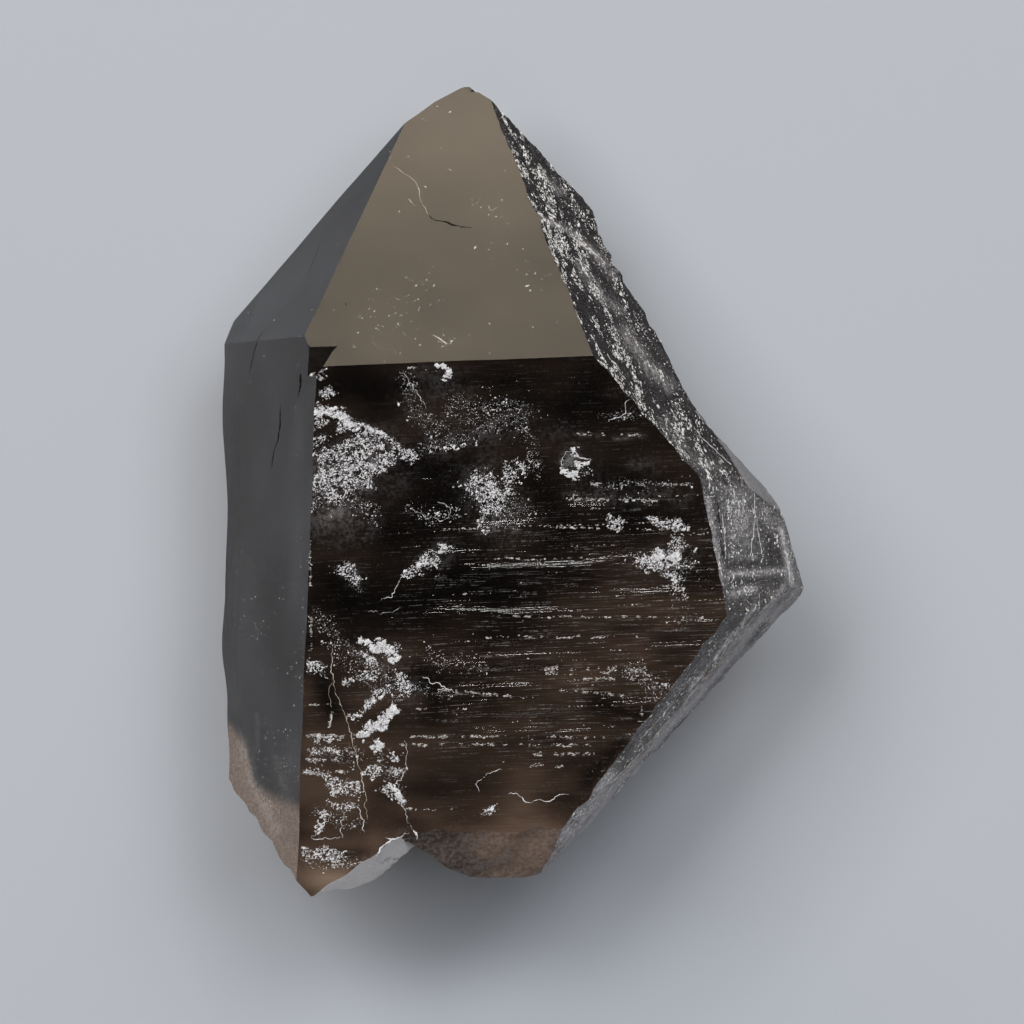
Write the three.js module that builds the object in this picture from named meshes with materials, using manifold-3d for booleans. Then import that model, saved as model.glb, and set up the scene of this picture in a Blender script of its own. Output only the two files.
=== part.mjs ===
// A single smoky quartz crystal, lying on its back prism face. Millimetres, +Z up.
//
// The crystal's long c axis runs along Y, and its point is at +Y. Each flat face is the plane with
// a normal given by two angles: "around" turns it about the c axis, from straight up towards +X,
// and "lean" tips it from square to the c axis towards the point. "distance" is how far the plane
// lies from the crystal's centre. A body is the space that lies behind all of its faces.

import * as THREE from "three";
import { ConvexGeometry } from "three/addons/geometries/ConvexGeometry.js";
import { mergeVertices } from "three/addons/utils/BufferGeometryUtils.js";
import Module from "manifold-3d";

const wasm = await Module();
wasm.setup();

// Driving dimensions
const thickness = 38; // from the resting prism face to the broad prism face on top
const halfThickness = thickness / 2;
const rhombLean = 38.2; // quartz's angle between a prism face and the point face above it
const sameEdge = 1e-4; // a corner this close to a plane lies on it

const face = (around, lean, distance) => ({ around, lean, distance });

// Six prism faces and six point faces, as on any quartz crystal, but unequal in size
const growthFaces = [
  face(0, 0, halfThickness), // broad top prism face
  face(180, 0, halfThickness), // prism face that it rests on
  face(-60, 4, 26.9), // left prism face, which tapers to the point
  face(-120, -1.5, 24.2), // lower left prism face
  face(56, 7.6, 26.4), // upper right prism face, tapering away from the point
  face(0, rhombLean, 24.4), // broad point face above the top prism face
  face(-60, 39, 31.6), // left point face
  face(60, 34.5, 22.8), // rough right point face
  face(-120, 39, 32.4), // lower left point face
  face(180, rhombLean, 30.6), // lower back point face
  face(60, -36, 29.05), // right face of the lower end
  face(72, -40, 28.15), // narrow facet beside it
  face(120, -48.6, 23.4), // lower right face of the lower end
];

// Small worn bevels on the point
const tipBevels = [face(-120, 53, 38.4), face(120, 45, 31.2)];

// The right flank grew in three steps. Each has a sloping face and a steep face.
const flankSteps = [
  [face(120, 39, 27.7), face(120, -9.3, 5.4)],
  [face(62, 34.5, 22.5), face(120, 32.6, 21.4), face(120, 2.3, 12.8)],
  [
    face(120, 45, 14.7),
    face(120, 23, 18.6),
    face(72, 33.6, 22.9), // narrow facets down the outer edge
    face(72, 8, 27.7),
  ],
];

// The lower end is broken off in two lobes with a notch between them
const breakLobes = [
  [
    face(-100, -44.3, 38.95), // left chip
    face(35, -43, 28.0), // pale bevel along the notch
    face(110, -46.8, 12.4), // side of the notch, which undercuts the lobe
    face(180, -72, 29.75), // foot of the lobe
  ],
  [
    face(-100, -44.3, 38.95),
    face(-100, -52, 30.7), // other side of the notch
    face(0, -35, 33.8), // bevel below the broad face
    face(180, -75, 31.4), // foot of the lobe
  ],
];

// A small step missing from the corner where the top, left and broad point faces meet
const cornerStep = [
  face(180, 0, -17.4), // its floor, level with the top prism face
  face(0, 90, 17.3),
  face(0, -90, -14.4),
  face(90, -32, -23.6),
  face(0, 0, 24),
  face(-90, 0, 24),
];

// Hollow shell-shaped scoops where the lower end broke from the rock
const scoops = [
  { centre: [-6, -54, -6], radius: 27 },
  { centre: [14, -45, -9], radius: 18.5 },
];

function planeOf({ around, lean, distance }) {
  const a = THREE.MathUtils.degToRad(around);
  const l = THREE.MathUtils.degToRad(lean);
  const normal = new THREE.Vector3(Math.cos(l) * Math.sin(a), Math.sin(l), Math.cos(l) * Math.cos(a));
  return { normal, distance };
}

// The one point on three planes, or null where two of them are parallel
function cornerOf(p, q, r) {
  const rows = new THREE.Matrix3().set(...p.normal, ...q.normal, ...r.normal);
  if (Math.abs(rows.determinant()) < sameEdge) return null;
  return new THREE.Vector3(p.distance, q.distance, r.distance).applyMatrix3(rows.invert());
}

// The convex solid behind a list of faces: its corners are the triple meetings inside every plane
function solidBehind(faces) {
  const planes = faces.map(planeOf);
  const corners = [];
  for (let i = 0; i < planes.length; i++)
    for (let j = i + 1; j < planes.length; j++)
      for (let k = j + 1; k < planes.length; k++) {
        const corner = cornerOf(planes[i], planes[j], planes[k]);
        if (corner && planes.every((p) => p.normal.dot(corner) < p.distance + sameEdge))
          corners.push(corner);
      }
  return toManifold(new ConvexGeometry(corners));
}

function toManifold(geometry) {
  const bare = geometry.clone();
  bare.deleteAttribute("normal");
  bare.deleteAttribute("uv");
  const merged = mergeVertices(bare, sameEdge);
  const mesh = new wasm.Mesh({
    numProp: 3,
    vertProperties: new Float32Array(merged.attributes.position.array),
    triVerts: new Uint32Array(merged.index.array),
  });
  return new wasm.Manifold(mesh);
}

function toGeometry(solid) {
  const mesh = solid.getMesh();
  const geometry = new THREE.BufferGeometry();
  geometry.setAttribute("position", new THREE.BufferAttribute(mesh.vertProperties, 3));
  geometry.setIndex(new THREE.BufferAttribute(mesh.triVerts, 1));
  return geometry;
}

function scoopBall({ centre, radius }) {
  const ball = new THREE.SphereGeometry(radius, 72, 48);
  ball.translate(...centre);
  return toManifold(ball);
}

function crystalSolid() {
  const bodies = flankSteps.flatMap((step) =>
    breakLobes.map((lobe) => solidBehind([...growthFaces, ...tipBevels, ...step, ...lobe])),
  );
  const whole = bodies.reduce((joined, body) => joined.add(body));
  const stepped = whole.subtract(solidBehind(cornerStep));
  return scoops.reduce((left, scoop) => left.subtract(scoopBall(scoop)), stepped);
}

function crystal() {
  const geometry = toGeometry(crystalSolid());
  geometry.computeBoundingBox();
  const { min, max } = geometry.boundingBox;
  geometry.translate(-(min.x + max.x) / 2, -(min.y + max.y) / 2, -min.z);
  const smoky = new THREE.MeshStandardMaterial({ color: 0x2a211b, roughness: 0.12, metalness: 0 });
  const mesh = new THREE.Mesh(geometry, smoky);
  mesh.name = "crystal";
  return mesh;
}

const part = new THREE.Group();
part.add(crystal());

export default part;
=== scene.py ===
import itertools
import math

import bpy
import numpy as np
from mathutils import Matrix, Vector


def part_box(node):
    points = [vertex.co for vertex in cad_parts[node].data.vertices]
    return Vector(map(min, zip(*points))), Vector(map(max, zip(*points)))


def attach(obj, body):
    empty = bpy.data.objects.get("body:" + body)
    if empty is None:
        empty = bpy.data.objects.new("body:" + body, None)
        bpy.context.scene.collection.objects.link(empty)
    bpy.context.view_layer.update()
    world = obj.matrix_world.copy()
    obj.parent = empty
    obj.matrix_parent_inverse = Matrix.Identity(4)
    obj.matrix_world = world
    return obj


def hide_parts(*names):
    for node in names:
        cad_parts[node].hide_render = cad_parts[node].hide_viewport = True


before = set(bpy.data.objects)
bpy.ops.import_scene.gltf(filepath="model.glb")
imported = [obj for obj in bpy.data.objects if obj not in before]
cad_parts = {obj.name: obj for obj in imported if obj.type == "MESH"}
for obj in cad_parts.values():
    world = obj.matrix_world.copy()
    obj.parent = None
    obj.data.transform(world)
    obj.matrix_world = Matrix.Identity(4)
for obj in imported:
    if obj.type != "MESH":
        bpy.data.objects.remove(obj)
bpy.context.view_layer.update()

cadLow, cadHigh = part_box("crystal")
mm = 0.001

# The crystal's own centre, from which its faces are measured, in metres. The long axis runs
# along Y with the point at +Y, and the broad prism face looks up.
axisOffset = {"x": 0.279 * mm, "y": -3.507 * mm}
crystalCentre = np.array([
    (cadLow.x + cadHigh.x) / 2 + axisOffset["x"],
    (cadLow.y + cadHigh.y) / 2 + axisOffset["y"],
    (cadLow.z + cadHigh.z) / 2,
])

view = {
    "height": 0.550,  # camera above the broad prism face
    "halfWidth": 0.0512,  # half of what it sees across, at that face
    "turn": 2.3,  # degrees, clockwise seen from above
}


def newObject(name, data):
    thing = bpy.data.objects.new(name, data)
    bpy.context.scene.collection.objects.link(thing)
    return thing


def makeCamera():
    camera = bpy.data.cameras.new("camera")
    camera.sensor_width = 36.0
    camera.lens = 18.0 * view["height"] / view["halfWidth"]
    camera.clip_start = 0.01
    camera.clip_end = 20.0
    holder = newObject("camera", camera)
    holder.location = (crystalCentre[0], crystalCentre[1], cadHigh.z + view["height"])
    holder.rotation_euler = (0.0, 0.0, -math.radians(view["turn"]))
    bpy.context.scene.camera = holder


studio = {
    "floorColour": (0.46, 0.49, 0.54),
    "floorRoughness": 0.7,
    "floorReach": 3.0,
    "ambient": 0.04,
}

# name: (compass angle from +Y towards +X, elevation, distance, width, height, watts, colour)
lamps = {
    "tipLamp": (0.0, 17.0, 1.30, 1.40, 0.60, 7.2, (1.0, 0.84, 0.64)),
    "keyLamp": (-50.0, 61.0, 2.40, 1.35, 1.00, 25.6, (1.0, 0.98, 0.96)),
    "northLamp": (0.0, 70.5, 2.40, 1.50, 0.40, 17.8, (1.0, 0.99, 0.97)),
    "fillLamp": (50.0, 66.0, 2.40, 1.25, 0.80, 16.4, (0.94, 0.97, 1.0)),
    "lowLamp": (196.0, 69.0, 2.40, 1.35, 0.42, 1.3, (1.0, 0.98, 0.96)),
}


def makeFloor():
    reach = studio["floorReach"]
    corners = [(-reach, -reach, 0), (reach, -reach, 0), (reach, reach, 0), (-reach, reach, 0)]
    mesh = bpy.data.meshes.new("floor")
    mesh.from_pydata([(x, y, z - 0.00001) for x, y, z in corners], [], [(0, 1, 2, 3)])
    plain = bpy.data.materials.new("plainFloor")
    plain.use_nodes = True
    shader = plain.node_tree.nodes["Principled BSDF"]
    shader.inputs["Base Color"].default_value = (*studio["floorColour"], 1.0)
    shader.inputs["Roughness"].default_value = studio["floorRoughness"]
    shader.inputs["Specular IOR Level"].default_value = 0.2
    mesh.materials.append(plain)
    newObject("floor", mesh)


def makeLamps():
    aim = np.array([crystalCentre[0], crystalCentre[1], 0.0])
    for name, (compass, elevation, distance, width, height, watts, colour) in lamps.items():
        around, up = math.radians(compass), math.radians(elevation)
        out = np.array([math.sin(around) * math.cos(up), math.cos(around) * math.cos(up), math.sin(up)])
        light = bpy.data.lights.new(name, "AREA")
        light.shape = "RECTANGLE"
        light.size = width
        light.size_y = height
        light.energy = watts
        light.color = colour
        holder = newObject(name, light)
        holder.location = aim + out * distance
        holder.rotation_euler = (math.pi / 2 - up, 0.0, math.pi - around)
        holder.visible_camera = False


def makeWorld():
    world = bpy.data.worlds.new("studio")
    world.use_nodes = True
    background = world.node_tree.nodes["Background"]
    background.inputs["Color"].default_value = (1.0, 1.0, 1.0, 1.0)
    background.inputs["Strength"].default_value = studio["ambient"]
    bpy.context.scene.world = world


makeCamera()
makeFloor()
makeLamps()
makeWorld()
bpy.context.scene.view_settings.view_transform = "Standard"
print("studio ready")

# From here on shapes are worked out in mm from the crystal's centre, x to the right, y towards
# the point and z up, and go into metres only when a mesh is filled.

# name: (around, lean, distance in mm). "around" turns a face about the long axis from straight
# up towards +X, "lean" tips it towards the point, and "distance" is measured from the centre.
faces = {
    "top": (0, 0, 19.0),
    "bottom": (180, 0, 19.0),
    "leftPrism": (-60, 4, 26.9),
    "lowerLeftPrism": (-120, -1.5, 24.2),
    "rightPrism": (56, 7.6, 26.4),
    "topPoint": (0, 38.2, 24.4),
    "leftPoint": (-60, 39, 31.6),
    "rightPoint": (60, 34.5, 22.8),
    "lowerLeftPoint": (-120, 39, 32.4),
    "backPoint": (180, 38.2, 30.6),
    "rightEnd": (60, -36, 29.05),
    "rightEndEdge": (72, -40, 28.15),
    "lowerRightEnd": (120, -48.6, 23.4),
    "tipLeft": (-120, 53, 38.4),
    "tipRight": (120, 45, 31.2),
    "stepOneSlope": (120, 39, 27.7),
    "stepOneSide": (120, -9.3, 5.4),
    "stepTwoFace": (62, 34.5, 22.5),
    "stepTwoSlope": (120, 32.6, 21.4),
    "stepTwoSide": (120, 2.3, 12.8),
    "stepThreeSlope": (120, 45, 14.7),
    "stepThreeSide": (120, 23, 18.6),
    "edgeUpper": (72, 33.6, 22.9),
    "edgeMiddle": (72, 8, 27.7),
    "leftChip": (-100, -44.3, 38.95),
    "paleBevel": (35, -43, 28.0),
    "notchLeft": (110, -46.8, 12.4),
    "footLeft": (180, -72, 29.75),
    "notchRight": (-100, -52, 30.7),
    "lowBevel": (0, -35, 33.8),
    "footRight": (180, -75, 31.4),
}
shared = [
    "top", "bottom", "leftPrism", "lowerLeftPrism", "rightPrism", "topPoint", "leftPoint",
    "rightPoint", "lowerLeftPoint", "backPoint", "rightEnd", "rightEndEdge", "lowerRightEnd",
    "tipLeft", "tipRight", "leftChip",
]
flankSteps = [
    ["stepOneSlope", "stepOneSide"],
    ["stepTwoFace", "stepTwoSlope", "stepTwoSide"],
    ["stepThreeSlope", "stepThreeSide", "edgeUpper", "edgeMiddle"],
]
breakLobes = [
    ["paleBevel", "notchLeft", "footLeft"],
    ["notchRight", "lowBevel", "footRight"],
]
scoops = {  # centre and radius of each ball that hollows the broken end from below
    "leftScoop": ((-6, -54, -6), 27.0),
    "rightScoop": ((14, -45, -9), 18.5),
}
cornerStep = {  # the small corner missing beside the tan face lies between these planes
    "stepFloor": (180, 0, -17.4),
    "stepWall": (90, -32, -23.6),
    "stepHead": (0, 90, 17.3),
    "stepFoot": (0, -90, -14.4),
    "stepSky": (0, 0, 24.0),
    "stepOutside": (-90, 0, 24.0),
}
partNames = list(faces) + list(scoops) + list(cornerStep)
partNumber = {name: number for number, name in enumerate(partNames)}


def planesOf(table):
    # Each face's outward direction, from its two angles, and its distance
    around, lean = np.radians([row[:2] for row in table.values()]).T
    normal = np.stack([np.cos(lean) * np.sin(around), np.sin(lean), np.cos(lean) * np.cos(around)], 1)
    return normal, np.array([row[2] for row in table.values()], float)


faceNormal, faceDistance = planesOf(faces)
stepNormal, stepDistance = planesOf(cornerStep)
bodies = [
    [partNumber[name] for name in shared + step + lobe] for step in flankSteps for lobe in breakLobes
]

# How each face is finished: growth terraces, etching, slow waves, break ripples, frosting and
# brown veil, each from 0 to about 1. The first four shape the skin, and all but the waves also
# have a say in its colour.
etched = (0, 1, 0.5, 0, 0.025, 0.02)
broken = (0, 0.05, 0.2, 1, 0.04, 0.48)
calm = (0.25, 0.04, 1, 0, 0.010, 0.02)
finishOf = {
    "top": (1, 0, 0.15, 0, 0, 0.088),
    "bottom": (1, 0.1, 0.3, 0, 0.03, 0.12),
    "leftPrism": calm,
    "lowerLeftPrism": calm,
    "leftPoint": (0, 0.04, 0.6, 0, 0, 0),
    "topPoint": (0, 0, 0.07, 0, 0, 0.05),
    "lowerLeftPoint": (0, 0.1, 0.8, 0, 0.02, 0.05),
    "backPoint": (0, 0.2, 0.6, 0, 0.04, 0.08),
    "tipLeft": (0, 0.2, 0.4, 0.2, 0.05, 0.1),
    "tipRight": (0, 0.5, 0.4, 0.2, 0.15, 0.1),
    "rightPoint": etched,
    "stepTwoFace": etched,
    "edgeUpper": (0.1, 0.12, 0.3, 0, 0.13, 0.07),
    "stepOneSlope": etched,
    "stepTwoSlope": etched,
    "stepThreeSlope": etched,
    "stepOneSide": (0.3, 0.8, 0.5, 0, 0.1, 0.05),
    "stepTwoSide": (0.3, 0.8, 0.5, 0, 0.1, 0.05),
    "stepThreeSide": (0.3, 0.8, 0.5, 0, 0.1, 0.05),
    "rightPrism": (0.9, 0.5, 0.3, 0, 0.09, 0.03),
    "edgeMiddle": (0.9, 0.5, 0.3, 0, 0.13, 0.03),
    "rightEnd": (0, 0.6, 0.4, 0.2, 0.24, 0.07),
    "rightEndEdge": (0, 0.6, 0.4, 0.2, 0.6, 0.14),
    "lowerRightEnd": (0, 0.6, 0.6, 0.3, 0.2, 0.15),
    # full frosting here is partly the bevel's own pale break and partly painted light, as it faces away
    # from the main lamps
    "paleBevel": (0, 0.05, 0.1, 0.4, 1, 0.42),
    "leftChip": (0, 0.05, 0.2, 1, 0.16, 0.58),
    "lowBevel": (0, 0.05, 0.2, 1, 0.11, 0.34),
    "stepFloor": (0, 0.1, 0, 0.1, 0.01, 0.02),
    "stepWall": (0, 0.1, 0, 0.1, 0.02, 0.02),
}
finishTable = np.array([finishOf.get(name, broken) for name in partNames])
reliefDepth = np.array([0.045, 0.20, 0.30, 0.28])  # mm for terraces, etching, waves and ripples

skin = {
    "boxHalfX": 31.0,  # the rays aim at a box round the crystal, in mm
    "boxLowY": -42.0,
    "boxHighY": 46.0,
    "boxHalfZ": 19.0,
    "axisLowY": -18.0,  # the rays start on this stretch of the long axis
    "axisHighY": 30.0,
    "columns": {"floorRight": 18, "right": 62, "top": 128, "left": 46, "floorLeft": 18},
    "rows": {"lowCap": 30, "side": 296, "highCap": 34},
    "tipAim": (-3.0, -4.0),  # x and z of the point's pole
    "lowAim": (-3.0, 0.0),
    "creaseAngle": 16.0,
}


def axesAlong(direction, face):
    # A unit direction, the one across it on the face, and the one square to both
    along = np.array(direction) / np.linalg.norm(direction)
    across = np.cross(faceNormal[partNumber[face]], along)
    across = across / np.linalg.norm(across)
    return np.stack([along, across, np.cross(along, across)])


flankAxes = axesAlong((0.30, -0.75, 0.59), "rightPoint")  # down the etched flank from the point
endAxes = axesAlong((-0.69, -0.705, 0.163), "rightEnd")  # along the sloping low end's streaks

relief = {
    "ripplesFrom": (-6.0, -33.0, 24.0),  # the blow that broke the low end
    "rippleLength": 3.2,
    "leftBulges": [  # y, reach, rise
        (-13.0, 3.5, 1.5), (1.0, 4.5, -1.3), (12.0, 5.0, 0.6), (-24.0, 3.0, -0.9),
    ],
    "ridges": [  # raised lines down the flank: path seen from above, half width, rise
        ([(4.1, 29.9), (7.5, 27.7), (10.5, 25.0), (12.0, 24.0)], 0.45, 1.8),
        ([(12.6, 16.5), (15.6, 13.0), (19.4, 8.6)], 0.40, 1.5),
        ([(3.0, 37.0), (6.0, 32.5)], 0.40, 1.0),
        ([(24.3, -9.6), (20.0, -16.1), (16.2, -20.3), (11.6, -25.5), (6.0, -29.2)], 0.35, 1.6),
        ([(20.4, 0.6), (21.1, -5.9)], 0.16, -1.3),
    ],
    "hollows": [((8.6, 27.8), 1.7, -2.2), ((14.0, 18.5), 1.6, -1.2), ((17.0, 12.0), 1.3, -1.0)],
}


def hashed(cell, seed):
    # A number from -1 to 1 for each whole-number cell, the same in every run
    mixed = cell[..., 0] * 73856093 ^ cell[..., 1] * 19349663 ^ cell[..., 2] * 83492791 ^ seed * 15485863
    mixed = (mixed ^ (mixed >> 13)) * 1274126177
    return ((mixed ^ (mixed >> 16)) & 0xFFFF) / 32767.5 - 1.0


def lumps(points, size, seed):
    # Smooth lumps of about this size: a random value at each corner of a lattice of such cells,
    # blended across the cell with weights t * t * (3 - 2t) along each side
    place = points / np.asarray(size, float)
    cell = np.floor(place).astype(np.int64)
    t = place - cell
    t = t * t * (3 - 2 * t)
    total = np.zeros(points.shape[:-1])
    for corner in itertools.product((0, 1), repeat=3):
        weight = np.prod(np.where(corner, t, 1 - t), axis=-1)
        total += weight * hashed(cell + np.array(corner), seed)
    return total


def crumble(points, size, seed, layers=3):
    # Lumps, with finer lumps of half the size and height on them, layer by layer
    size = np.asarray(size, float)
    return sum(lumps(points, size / 2 ** layer, seed + layer) / 2 ** layer for layer in range(layers))


def distanceTo(path, points):
    # The shortest way, seen from above, from each point to a path of straight stretches
    x, y = points[:, 0], points[:, 1]
    best = np.full(len(points), 1e3)
    for (x0, y0), (x1, y1) in zip(path, path[1:] or path):
        run = max((x1 - x0) ** 2 + (y1 - y0) ** 2, 1e-9)
        t = np.clip(((x - x0) * (x1 - x0) + (y - y0) * (y1 - y0)) / run, 0, 1)
        best = np.minimum(best, np.hypot(x - x0 - t * (x1 - x0), y - y0 - t * (y1 - y0)))
    return best


def bell(distance, reach):
    # 1 at no distance, 0.37 at the reach and near 0 from twice the reach on
    return np.exp(-(distance / reach) ** 2)


def rise(value, low, high):
    # 0 below low, 1 above high and a smooth slope between
    t = np.clip((value - low) / (high - low), 0, 1)
    return t * t * (3 - 2 * t)


def reliefOf(points):
    # The height in mm that each part's finish adds at each point: terraces are sharpened lumps
    # long across the prism and short along it, etching is crumbly and drawn out down the flank
    # with listed ridges, waves are slow lumps, and ripples are rings round the blow
    terraces = np.tanh(2.2 * (lumps(points, (11, 1.5, 11), 3) + 0.6 * lumps(points, (6, 0.8, 6), 4)))
    downFlank = points @ flankAxes.T
    etching = 0.6 * crumble(downFlank, (3.2, 1.3, 1.3), 11) + 0.5 * crumble(points, 0.9, 17, 2)
    for path, reach, height in relief["ridges"]:
        etching += height * bell(distanceTo(path, points), reach)
    for spot, reach, height in relief["hollows"]:
        etching += height * bell(distanceTo([spot], points), reach)
    etching *= rise(points[:, 0], -4, 4)
    waves = lumps(points, 8.0, 23) * 0.7 + lumps(points, 3.5, 24) * 0.2
    for y, reach, height in relief["leftBulges"]:
        waves += height * bell(points[:, 1] - y, reach) * rise(-points[:, 0], 21, 26)
    ring = np.linalg.norm(points - np.array(relief["ripplesFrom"]), axis=1)
    ring += 0.8 * lumps(points, 4.0, 31)
    ripples = 0.5 * np.sin(ring * 2 * math.pi / relief["rippleLength"]) + 0.6 * crumble(points, 3.0, 33)
    fields = np.stack([terraces, etching, waves, ripples], axis=1)
    return fields @ (finishTable[:, :4] * reliefDepth).T


def boxOutline():
    # Points spread evenly along each side of the box's cross-section, from the middle of the
    # underside, up the right, over the top and down the left, as unit x and z
    corners = [(0, -1), (1, -1), (1, 1), (-1, 1), (-1, -1), (0, -1)]
    sides = [
        np.linspace(start, end, count, endpoint=False)
        for start, end, count in zip(corners, corners[1:], skin["columns"].values())
    ]
    return np.concatenate(sides).T


def rayGrid():
    # Row and column give a point on the box: rows run up the long axis, and on the two end caps
    # they shrink the outline to a pole. Each ray starts on the axis beside its own point.
    x, z = boxOutline()
    rows = skin["rows"]
    ends = np.linspace(0, 1, rows["lowCap"] + 1)[1:-1]
    shrink = np.concatenate([ends, np.ones(rows["side"]), np.linspace(1, 0, rows["highCap"] + 1)[1:-1]])
    y = np.concatenate([
        np.full(ends.size, skin["boxLowY"]),
        np.linspace(skin["boxLowY"], skin["boxHighY"], rows["side"]),
        np.full(rows["highCap"] - 1, skin["boxHighY"]),
    ])
    low = np.arange(y.size) < y.size // 2
    poleX = np.where(low, skin["lowAim"][0], skin["tipAim"][0])
    poleZ = np.where(low, skin["lowAim"][1], skin["tipAim"][1])
    target = np.stack([
        skin["boxHalfX"] * x[None, :] * shrink[:, None] + (poleX * (1 - shrink))[:, None],
        np.broadcast_to(y[:, None], (y.size, x.size)),
        skin["boxHalfZ"] * z[None, :] * shrink[:, None] + (poleZ * (1 - shrink))[:, None],
    ], axis=2)
    start = axisBeside(target)
    return start, target - start


def axisBeside(points):
    # For each point the nearest place on the stretch of the long axis from which rays start
    start = np.zeros_like(points)
    start[..., 1] = np.clip(points[..., 1], skin["axisLowY"], skin["axisHighY"])
    return start


def reachOf(start, aim, lift):
    # How far along each ray the skin lies. Behind one body's faces it is the nearest face, the
    # joined bodies reach as far as the farthest, a scoop stops a ray where it enters the ball,
    # and the corner step stops it where it passes the last of the step's near planes.
    rays = np.arange(len(start))
    along = aim @ faceNormal.T
    gap = faceDistance + lift[:, :len(faceDistance)] - start @ faceNormal.T
    reach = np.where(along > 1e-4, gap / np.maximum(along, 1e-4), 1e6)
    best = np.full(len(start), -1e6)
    label = np.zeros(len(start), int)
    for body in bodies:
        own = reach[:, body]
        nearest = own.argmin(axis=1)
        farther = own[rays, nearest] > best
        best = np.where(farther, own[rays, nearest], best)
        label = np.where(farther, np.array(body)[nearest], label)
    columns = [reach]
    for name, (centre, radius) in scoops.items():
        away = start - np.array(centre)
        a = (aim * aim).sum(axis=1)
        b = (away * aim).sum(axis=1)
        c = (away * away).sum(axis=1) - (radius - lift[:, partNumber[name]]) ** 2
        inside = b * b - a * c
        entry = np.where((inside > 0) & (b < 0), (-b - np.sqrt(np.maximum(inside, 0))) / a, 1e6)
        columns.append(entry[:, None])
        label = np.where(entry < best, partNumber[name], label)
        best = np.minimum(entry, best)
    along = aim @ stepNormal.T
    along = np.where(np.abs(along) < 1e-6, -1e-6, along)
    crossing = (stepDistance - start @ stepNormal.T) / along
    entering = np.where(along < 0, crossing, -1e6)
    last = entering.argmax(axis=1)
    entry = entering[rays, last]
    leaving = np.where(along > 0, crossing, 1e6).min(axis=1)
    cut = (entry < leaving) & (entry < best) & (entry > 0)
    best = np.where(cut, entry, best)
    label = np.where(cut, len(partNames) - len(cornerStep) + last, label)
    columns.append(np.where(along < 0, crossing, 1e6))
    return best, label, np.concatenate(columns, axis=1)


def skinPoints(start, aim):
    # The plain faces first, and then the same rays against faces raised by the relief there
    start, aim = start.reshape(-1, 3), aim.reshape(-1, 3)
    plain = reachOf(start, aim, np.zeros((1, len(partNames))))[0]
    best, label, every = reachOf(start, aim, reliefOf(start + aim * plain[:, None]))
    return start + aim * best[:, None], label, every


def snapToCreases(start, aim, label, every):
    # Where two neighbours on the grid lie on different faces, the one nearer the crease between
    # them slides along the grid line onto it
    shape = start.shape[:2]
    tags = label.reshape(shape)
    nearness = 1.0 / np.clip(every, 1e-3, 1e6).reshape(*shape, -1)
    slide = np.full(shape, 1.0)
    newStart, newAim = start.copy(), aim.copy()
    for axis, step in ((0, 1), (0, -1), (1, 1), (1, -1)):
        otherTag = np.roll(tags, -step, axis)
        otherNear = np.roll(nearness, -step, axis)
        here = np.take_along_axis(nearness, tags[..., None], 2)[..., 0]
        hereOther = np.take_along_axis(nearness, otherTag[..., None], 2)[..., 0]
        there = np.take_along_axis(otherNear, tags[..., None], 2)[..., 0]
        thereOther = np.take_along_axis(otherNear, otherTag[..., None], 2)[..., 0]
        f0, f1 = here - hereOther, there - thereOther
        crossing = (tags != otherTag) & (f0 * f1 < 0)
        t = np.where(crossing, f0 / np.where(crossing, f0 - f1, 1.0), 1.0)
        if axis == 0:
            t[-1 if step == 1 else 0] = 1.0  # the grid doesn't wrap from pole to pole
        take = (t < slide) & (t <= 0.5)
        slide = np.where(take, t, slide)
        t = t[..., None]
        newStart = np.where(take[..., None], start * (1 - t) + np.roll(start, -step, axis) * t, newStart)
        newAim = np.where(take[..., None], aim * (1 - t) + np.roll(aim, -step, axis) * t, newAim)
    return newStart, newAim


def gridTriangles(start, aim, points, label):
    # Each square is cut the same way inside a face. On a crease it is cut along the diagonal
    # whose middle lies nearer the true skin. The first and last rows close to a pole.
    rows, columns = start.shape[:2]
    number = np.arange(rows * columns).reshape(rows, columns)
    a, d = number[:-1], number[1:]
    b, c = np.roll(a, -1, 1), np.roll(d, -1, 1)
    a, b, c, d = (part.ravel() for part in (a, b, c, d))
    flatStart, flatAim = start.reshape(-1, 3), aim.reshape(-1, 3)
    midStart = (flatStart[a] + flatStart[b] + flatStart[c] + flatStart[d]) / 4
    midAim = (flatAim[a] + flatAim[b] + flatAim[c] + flatAim[d]) / 4
    middle = skinPoints(midStart, midAim)[0]
    acGap = np.linalg.norm((points[a] + points[c]) / 2 - middle, axis=1)
    bdGap = np.linalg.norm((points[b] + points[d]) / 2 - middle, axis=1)
    onCrease = (label[a] != label[b]) | (label[a] != label[c]) | (label[a] != label[d])
    useAc = (~onCrease | (acGap <= bdGap))[:, None]
    first = np.where(useAc, np.stack([a, c, b], 1), np.stack([a, d, b], 1))
    second = np.where(useAc, np.stack([a, d, c], 1), np.stack([b, d, c], 1))
    lowPole, highPole = rows * columns, rows * columns + 1
    ring, last = number[0], number[-1]
    lowFan = np.stack([np.full(columns, lowPole), ring, np.roll(ring, -1)], 1)
    highFan = np.stack([np.full(columns, highPole), np.roll(last, -1), last], 1)
    return np.concatenate([first, second, lowFan, highFan])


def buildMesh(name, points, triangles, smooth=True):
    # Puts whole arrays of points and triangles into a mesh, in metres
    mesh = bpy.data.meshes.new(name)
    mesh.vertices.add(len(points))
    mesh.vertices.foreach_set("co", (points * mm + crystalCentre).astype(np.float32).ravel())
    mesh.loops.add(triangles.size)
    mesh.loops.foreach_set("vertex_index", triangles.astype(np.int32).ravel())
    mesh.polygons.add(len(triangles))
    mesh.polygons.foreach_set("loop_start", np.arange(0, triangles.size, 3, dtype=np.int32))
    mesh.update(calc_edges=True)
    mesh.polygons.foreach_set("use_smooth", np.full(len(mesh.polygons), smooth))
    return newObject(name, mesh)


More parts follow.
